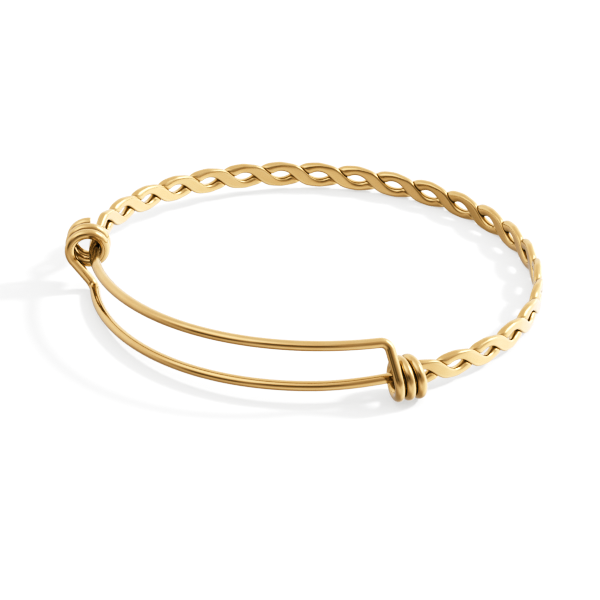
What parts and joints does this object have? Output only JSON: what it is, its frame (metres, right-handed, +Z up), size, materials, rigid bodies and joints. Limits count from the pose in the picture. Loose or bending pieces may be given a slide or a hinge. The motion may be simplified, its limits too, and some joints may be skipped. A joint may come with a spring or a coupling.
{
  "type": "braided wire bangle",
  "caption": "Wire bangle that widens by sliding: a flattened open twist round the back, plain round wires across the front, each coiled round the other.",
  "frame": {"origin": "on the floor under the middle of the bangle's box, as it lies on its side", "axes": "+Z up from the floor, near enough the axis of the wrist hole; +X to the right and -Y to the front, where the two plain wires are"},
  "size_m": [0.0684, 0.0616, 0.0096],
  "materials": {
    "gold_plated_brass": "polished"
  },
  "bodies": {
    "root": {"first_strand": "gold_plated_brass", "second_strand": "gold_plated_brass", "upper_wire": "gold_plated_brass", "lower_wire": "gold_plated_brass"}
  },
  "joints": []
}
